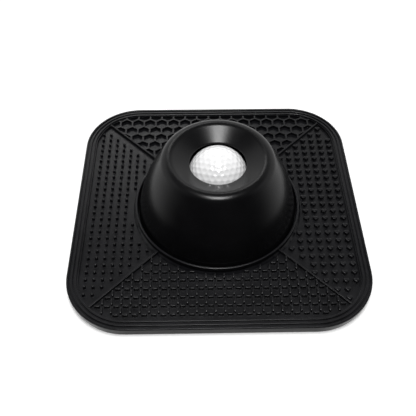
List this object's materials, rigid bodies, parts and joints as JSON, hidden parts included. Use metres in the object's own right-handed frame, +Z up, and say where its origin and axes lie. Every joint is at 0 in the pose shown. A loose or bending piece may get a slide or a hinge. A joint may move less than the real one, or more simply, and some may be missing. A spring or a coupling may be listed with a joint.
{
  "type": "roller ball lick mat",
  "caption": "Square rubber mat with rounded corners, a ridged rim and four textured fields, and a round dome in its middle that holds a dimpled ball captive in a dished hole.",
  "frame": {"origin": "centre of the mat's underside, on the table", "axes": "+Z up through the dome and ball; +Y from the middle towards the honeycomb field, so the bar field faces -Y; +X towards the heart field"},
  "size_m": [0.21, 0.21, 0.0607],
  "materials": {
    "mat_rubber": "matte",
    "dome_plastic": "satin",
    "tray_plastic": "matte",
    "ring_plastic": "smooth",
    "ball_white": "gloss",
    "core_rubber": "matte"
  },
  "bodies": {
    "mat": {"mat_body": "mat_rubber", "nub_field": "mat_rubber", "heart_field": "mat_rubber", "bar_field": "mat_rubber", "honeycomb_field": "mat_rubber", "ball_tray": "tray_plastic"},
    "dome": {"dome": "dome_plastic"},
    "seat": {"seat_ring": "ring_plastic"},
    "ball": {"ball_cover": "ball_white", "ball_core": "core_rubber"}
  },
  "joints": [
    {"name": "dome_lift", "type": "slide", "parent": "mat", "child": "dome", "axis": [0, 0, 1], "range_m": [0, 0.075]},
    {"name": "seat_spin", "type": "hinge", "parent": "mat", "child": "seat", "pos_m": [0, 0, 0.0224], "axis": [0, 0, 1], "continuous": true},
    {"name": "ball_roll", "type": "hinge", "parent": "seat", "child": "ball", "pos_m": [0, 0, 0.0394], "axis": [1, 0, 0], "continuous": true}
  ]
}
